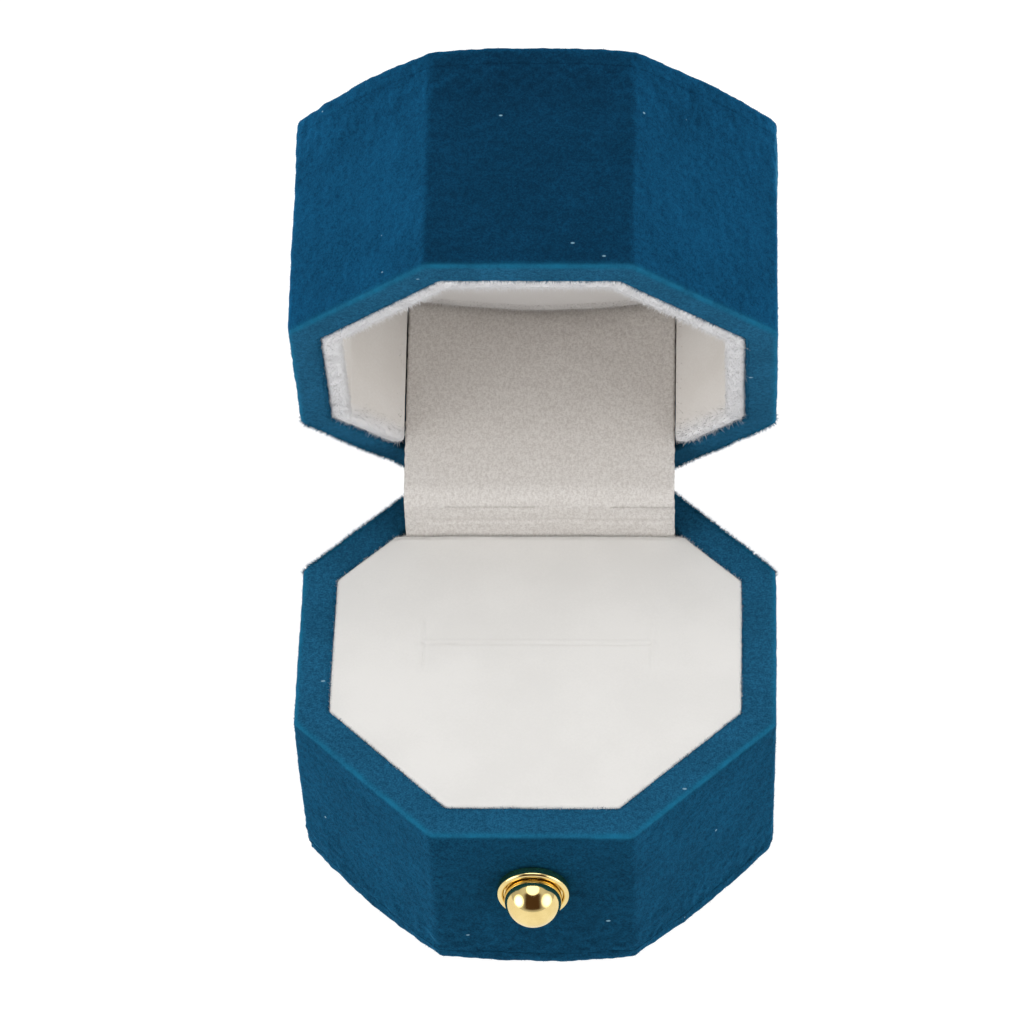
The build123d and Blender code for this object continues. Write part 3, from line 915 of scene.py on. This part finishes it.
def slit_relief(x, y):
    """The H-shaped ring slit: two lips of velvet that nearly close, with a short cut at each end."""
    main = to_segment(x, y, (-SLIT_HALF, 0), (SLIT_HALF, 0))
    left = to_segment(x, y, (-SLIT_HALF, -CUT_HALF), (-SLIT_HALF, CUT_HALF))
    right = to_segment(x, y, (SLIT_HALF, -CUT_HALF), (SLIT_HALF, CUT_HALF))
    cuts = np.minimum(left, right)
    groove = 0.08 * (1 - smoothstep(main, 0.0, 0.2)) + 0.04 * (1 - smoothstep(cuts, 0.0, 0.18))
    lip = 0.08 * np.exp(-(((main - 0.4) / 0.25) ** 2)) * np.where(y > 0, 1.0, 0.2)
    lip = lip + 0.04 * np.exp(-(((cuts - 0.35) / 0.25) ** 2))
    return groove - lip


def cushion():
    low, high = CUSHION[0].copy(), CUSHION[1].copy()
    high[0] = MOUTH_HALF[BASE] + 0.15
    high[1] = SUEDE[0][1] + 0.1
    low[2] -= 0.15
    cuts = (-SLIT_HALF, SLIT_HALF)
    obj = pad("cushion_cover", BASE, low, high, edge=0.4, crown=0.2, relief=slit_relief,
              fine_x=cuts, fine_y=(0.0,))
    roughen(obj, [(0.5, 0.01), (1.8, 0.015), (13.0, 0.12)])

    def at_edges(place, normal):
        return (place[:, 2] < 1.3) * np.clip(1 - normal[:, 2], 0, 1) ** 0.7 + 0.001 * (place[:, 2] < 1.0)

    def at_rear(place, normal):
        return (place[:, 1] > high[1] - 0.9) & (place[:, 2] < 0.9)

    add_pile(obj, BASE, at_edges, count=12000, length=0.4, thick=0.026, lean=0.7, seed=5)
    add_pile(obj, BASE, at_rear, count=3500, length=0.55, thick=0.024, lean=0.7, seed=10)
    nodes = ["cushion_velvet", "cushion_foam_front", "cushion_foam_rear"]
    finish_piece(obj, BASE, "white_velvet", nodes)


def ceiling():
    low, high = CEILING[0].copy(), CEILING[1].copy()
    low[2] -= 0.9
    high[1] += 0.15
    obj = pad("ceiling_pad", LID, low, high, edge=1.2, crown=2.8)
    roughen(obj, [(0.5, 0.015), (1.8, 0.04), (9.0, 0.12)])

    def at_rear(place, normal):
        return (place[:, 1] > 13.5) * (place[:, 2] < high[2] - 2.5)

    # The pad is painted somewhat lighter: painted light on its pile.
    add_value(obj, "nap_and_painted_light", np.full(len(obj.data.vertices), 0.5))
    add_pile(obj, LID, at_rear, count=6000, length=0.45, thick=0.026, lean=0.6, seed=6)
    finish_piece(obj, LID, "white_velvet", ["ceiling_fabric", "ceiling_foam"], "shaded_lid_velvet")


# The lid's lining


def open_octagon(half, chamfer, rear):
    """An octagon's corners from one rear end round the front to the other, cut straight at the rear.
    Its two rear chamfers may be further from the middle than its flats."""
    side = half * math.tan(math.radians(22.5))
    reach = chamfer * math.sqrt(2)
    right = [(reach - rear, rear), (half, reach - half), (half, -side), (side, -half)]
    return right + [(-x, y) for x, y in reversed(right)]


def c_ring(name, outer, inner, chamfer, near, far, rear, rounding):
    """A wall round the lid's inside, open at the rear. Outer and inner are how far its faces are from
    the middle at the flats, and chamfer is how far the inner face is at the rear chamfers."""
    section = rounded_section(
        [
            (outer, far, 0.0, 0.6),
            (outer, near, rounding, 0.3),
            (inner, near + 0.1, rounding, 0.3),
            (inner, far, 0.0, 0.6),
        ]
    )
    rows = []
    for half, depth in section:
        thin = outer - (outer - half) * (outer - chamfer) / (outer - inner)
        radius = max(0.2, 1.2 - 0.3 * (outer - half))
        ring = outline(open_octagon(half, thin, rear), radius, FLAT_STEPS, closed=False)
        rows.append(np.column_stack([ring, np.full(len(ring), depth)]))
    columns = len(rows[0])
    faces = grid_faces(len(rows), columns, True, False)
    faces += [tuple(range(c, len(rows) * columns, columns)) for c in (0, columns - 1)]
    return add_mesh(name, placed(np.concatenate(rows), LID), faces), section, columns


def lining():
    """White velvet on a board that stands inside the lid's mouth, open at the rear."""
    outer, near, far, rear = LINING[1][0], LINING[0][2] - 0.18, LINING[1][2], LINING[1][1] + 0.1
    obj, section, columns = c_ring("lid_lining", outer + 0.1, inner=21.4, chamfer=22.3, near=near,
                                   far=far, rear=rear, rounding=0.6)
    mouth = np.repeat(1 - smoothstep(section[:, 1], near + 0.2, near + 2.6), columns)
    roughen(obj, [(0.9, 0.03), (6.0, 0.1)], 0.6 + 0.3 * mouth)

    # The mouth band is painted lighter: painted light on its pile.
    add_value(obj, "nap_and_painted_light", mouth)

    def at_mouth(place, normal):
        return 1 - smoothstep(place[:, 2], near + 0.5, near + 3.0)

    def at_rear(place, normal):
        edge = (place[:, 1] > rear - 0.9) * (place[:, 2] < 16)
        fringe = (place[:, 2] < near + 1.2) * np.clip(-normal[:, 2] - 0.45, 0, 1)
        return 0.15 * edge + 9.0 * fringe

    add_pile(obj, LID, at_mouth, count=26000, length=0.4, thick=0.028, lean=0.45, seed=7)
    add_pile(obj, LID, at_rear, count=9000, length=0.95, thick=0.028, lean=0.5, seed=8)
    finish_piece(obj, LID, "white_velvet", ["lid_lining_velvet"], "shaded_lid_velvet")
    near = drawn_box("lid_lining_board")[0][2] + 0.1
    board = c_ring("lining_card", outer - 0.3, inner=21.95, chamfer=22.75, near=near,
                   far=far, rear=rear - 0.2, rounding=0.1)[0]
    finish_piece(board, LID, "card", ["lid_lining_board"])


# The flap


FOLD_RADIUS = FOLD[1] - SUEDE[0][1]
# Each crease is (height, depth) on the lower part of the suede.
CREASES = ((28.5, 0.06), (27.6, 0.07), (26.7, 0.17))
CREASE_WIDTH = 0.26


def flap_path(step):
    """The suede's front, as (y, z) from its lower end to its upper end, and which way it faces."""
    path = [((SUEDE[0][1], z), (-1.0, 0.0)) for z in np.arange(SUEDE[0][2], FOLD[2], step)]
    for angle in np.linspace(0, OPEN, round(FOLD_RADIUS * OPEN / step) + 1):
        out = np.array((-math.cos(angle), math.sin(angle)))
        path.append((FOLD[1:] + FOLD_RADIUS * out, out))
    start, out = path[-1]
    ahead = np.array((out[1], -out[0]))
    drawn = drawn_box("flap_suede")[1][2] + HINGE[2] - RIM
    length = drawn + (FOLD[2] - RIM)
    for s in np.arange(step, length, step):
        path.append((start + ahead * s, out))
    return [(np.array(p), np.array(o)) for p, o in path]


def creases(x, z):
    """How far the suede dips where it has been folded. The creases wander and come and go."""
    dip = 0.0
    for at, depth in CREASES:
        wander = 0.45 * noise.noise(Vector((x / 7, at, 2)))
        share = 0.65 + 1.1 * noise.noise(Vector((x / 8, at, 6)))
        dip += depth * max(0.15, share) * math.exp(-(((z - at - wander) / CREASE_WIDTH) ** 2))
    return dip


def flap():
    """A strip of suede that hides the hinge. It bends where it crosses from the lid to the base."""
    width = SUEDE[1][0] - SUEDE[0][0]
    path = flap_path(0.2)
    xs = np.linspace(-width / 2, width / 2, round(width / 0.3) + 1)
    front, back = [], []
    for s, (point, out) in enumerate(path):
        for x in xs:
            wave = 0.1 * noise.noise(Vector((x / 9, s / 26, 0.3)))
            wave += 0.05 * noise.noise(Vector((x / 3, s / 9, 4)))
            ragged = 0.0
            if abs(x) > width / 2 - 0.4:
                ragged = 0.1 * noise.noise(Vector((math.copysign(3, x), s * 0.3, 8)))
            dip = creases(x, point[1]) if out[1] < 0.2 else 0
            y, z = point - out * (dip + 0.12 - wave)
            front.append((x + ragged, y, z))
            y, z = point - out * 0.5
            back.append((x + ragged, y, z))
    rows, columns = len(path), len(xs)
    size = rows * columns
    faces = grid_faces(rows, columns) + grid_faces(rows, columns, start=size)
    rim = grid_edge(rows, columns)
    faces += joined_loops(rim, [i + size for i in rim])
    obj = add_mesh("flap_cover", front + back, faces)
    roughen(obj, [(0.45, 0.025), (2.2, 0.02)])
    finish_piece(obj, None, "grey_suede", ["flap_suede"])
    bend_reach = 1.5
    ahead = np.array((math.sin(OPEN), math.cos(OPEN)))
    out = np.array((-math.cos(OPEN), math.sin(OPEN)))
    top = FOLD[1:] + FOLD_RADIUS * out + ahead * bend_reach
    low = (SUEDE[0][1], FOLD[2] - bend_reach)
    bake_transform(obj, LID, "flap", start=(0, top[0] * MM, top[1] * MM), end=(0, low[0] * MM, low[1] * MM))


# The stud


def revolved(name, profile, centre_z, sides=96):
    """A piece turned about the stud's axis. The profile is (radius, y), and its ends are on the axis
    or it closes on itself."""
    profile = np.array(profile)
    turns = np.linspace(0, 2 * math.pi, sides, endpoint=False)
    closed = profile[0][0] > 0
    rings = profile if closed else profile[1:-1]
    points = [(r * math.cos(a), y, centre_z + r * math.sin(a)) for r, y in rings for a in turns]
    faces = grid_faces(len(rings), sides, closed, True)
    if not closed:
        for ring, (_, y) in ((0, profile[0]), (len(rings) - 1, profile[-1])):
            points.append((0, y, centre_z))
            ids = [ring * sides + s for s in range(sides)]
            faces += [(ids[s], ids[(s + 1) % sides], len(points) - 1) for s in range(sides)]
    obj = add_mesh(name, points, faces)
    obj.data.set_sharp_from_angle(angle=math.radians(38))
    return obj


def arc(centre, radius, start, end, steps):
    """Points of an arc as (radius from the axis, y), by angles in degrees."""
    return [
        (centre[0] + radius * math.cos(a), centre[1] + radius * math.sin(a))
        for a in np.radians(np.linspace(start, end, steps + 1))
    ]


def stud():
    """The ball with its shank, and the collar with its bead, which the ball sits in."""
    low, high = open_box("stud_ball")
    middle_z, front, back = (low[2] + high[2]) / 2, low[1], high[1]
    radius = (high[0] - low[0]) / 2
    centre = (0, front + radius)
    low, high = open_box("stud_collar")
    outer, face, seat = (high[0] - low[0]) / 2, low[1], high[1]
    bead, recess, shank = 0.38, seat - 0.55, 1.0
    ball_end = math.degrees(math.asin((recess - centre[1]) / radius))
    profile = arc(centre, radius, -90, ball_end, 44)
    profile[0] = (0, front)
    profile += [(shank, recess), (shank, back - 0.25), (shank - 0.2, back), (0, back)]
    ball = revolved("stud_knob", profile, middle_z)
    finish_piece(ball, BASE, "gold_brass", ["stud_ball"])
    bore, floor = shank + 0.05, recess + 0.02
    profile = [(bore, seat), (outer - 0.15, seat), (outer, seat - 0.15)]
    profile += arc((outer - bead, face + bead), bead, 0, -180, 14)
    profile += [(outer - 2 * bead, floor), (bore, floor)]
    collar = revolved("stud_seat", profile, middle_z)
    finish_piece(collar, BASE, "gold_brass", ["stud_collar"])


# What the CAD model shows as it is


def paint_cad_nodes():
    """Gives each CAD node the material of the first word that its name has in it."""
    by_word = [
        ("stud", "gold_brass"), ("hinge", "hinge_steel"), ("foam", "foam"), ("blocks", "foam"),
        ("shell", "shell_board"), ("wrap", "teal_velvet"), ("bottom_velvet", "teal_velvet"),
        ("top_velvet", "teal_velvet"), ("velvet", "white_velvet"), ("fabric", "white_velvet"),
        ("suede", "grey_suede"), ("", "card"),
    ]
    for name, obj in frame["nodes"].items():
        slot = next(s for word, s in by_word if word in name)
        obj.data.materials.clear()
        obj.data.materials.append(MATERIALS[slot])


# Floor, light and camera


def stage():
    reach, level = 3000, -0.02
    corners = [(x * reach, y * reach, level) for x, y in ((-1, -1), (1, -1), (1, 1), (-1, 1))]
    floor = add_mesh("floor", corners, [(0, 1, 2, 3)], smooth=False)
    nodes = Nodes(bpy.data.materials.new("floor"))
    nodes.set(Base_Color=(0.15, 0.15, 0.15), Roughness=1.0, Specular_IOR_Level=0.0,
              Emission_Color=(1.0, 1.0, 1.0), Emission_Strength=0.95)
    floor.data.materials.append(nodes.material)


# The colours of the tent's parts, in linear light
LIGHT = {
    "tent": (0.72, 0.72, 0.73),
    "rear": (0.2, 0.2, 0.2),
    "high": (0.9, 0.9, 0.91),
    "room": (0.10, 0.055, 0.03),
    "left": (4.7, 4.7, 4.7),
    "right": (3.9, 3.9, 3.9),
    "strip": (3.0, 3.0, 3.0),
    "back": (0.3, 0.3, 0.3),
}


def studio_light():
    """A white tent: a bright strip overhead, a softbox at each side, and the dark room in front."""
    world = bpy.data.worlds.new("tent")
    bpy.context.scene.world = world
    nodes = Nodes(world, "Generated")
    background = nodes.tree.nodes["Background"]
    stepped = nodes.ranged

    def facing(towards, low, high):
        """1 where the light comes from near a direction, 0 away from it."""
        dot = nodes.tree.nodes.new("ShaderNodeVectorMath")
        dot.operation = "DOT_PRODUCT"
        nodes.link(nodes.place, dot.inputs[0])
        dot.inputs[1].default_value = Vector(towards).normalized()
        return stepped(dot.outputs["Value"], low, high)

    def product(a, b):
        return nodes.math("MULTIPLY", a, b)

    split = nodes.tree.nodes.new("ShaderNodeSeparateXYZ")
    nodes.link(nodes.place, split.inputs[0])
    x, y, z = (split.outputs[name] for name in "XYZ")
    across = nodes.math("ABSOLUTE", x)
    middle = stepped(across, 0.44, 0.38)
    room = product(stepped(across, 0.68, 0.40), stepped(z, 0.04, 0.22))
    layers = [
        ("rear", facing((0, 1, 0.25), 0.25, 0.75)),
        ("high", stepped(z, 0.55, 0.8)),
        ("room", product(room, stepped(y, -0.1, -0.3))),
        ("left", facing((-0.85, -0.40, 0.335), 0.90, 0.985)),
        ("right", facing((0.86, -0.38, 0.345), 0.88, 0.985)),
        ("back", product(middle, facing((0, 0.60, 0.80), 0.89, 0.93))),
        ("strip", product(middle, facing((0, 0.06, 0.998), 0.89, 0.93))),
    ]
    light = LIGHT["tent"]
    for name, mask in layers:
        light = nodes.mixed(mask, light, LIGHT[name])
    nodes.link(light, background.inputs["Color"])
    background.inputs["Strength"].default_value = 0.85


def camera():
    """Looks down at the open box from a long way off, with a long lens and a slight tilt."""
    yaw, pitch, roll = (math.radians(a) for a in (-3.4416, 49.598, 2.5349))
    ahead = Vector((math.sin(yaw) * math.cos(pitch), math.cos(yaw) * math.cos(pitch), -math.sin(pitch)))
    right = Vector((math.cos(yaw), -math.sin(yaw), 0))
    up = right.cross(ahead)
    level_right, level_up = right, up
    right = level_right * math.cos(roll) - level_up * math.sin(roll)
    up = level_right * math.sin(roll) + level_up * math.cos(roll)
    target, distance = Vector((-2.15, 0, 47.15)) * MM, 0.6256
    data = bpy.data.cameras.new("camera")
    data.lens, data.sensor_width = 200.4, 36.0
    data.clip_start, data.clip_end = 0.01, 20.0
    obj = bpy.data.objects.new("camera", data)
    bpy.context.scene.collection.objects.link(obj)
    turn = Matrix((right, up, -ahead)).transposed().to_4x4()
    obj.matrix_world = Matrix.Translation(target - ahead * distance) @ turn
    bpy.context.scene.camera = obj


camera()
stage()
studio_light()
paint_cad_nodes()
sleeve(BASE)
sleeve(LID)
end_cover(BASE, "base_bottom_velvet")
end_cover(LID, "lid_top_velvet")
cushion()
ceiling()
lining()
flap()
stud()
bpy.context.scene.view_settings.view_transform = "Standard"
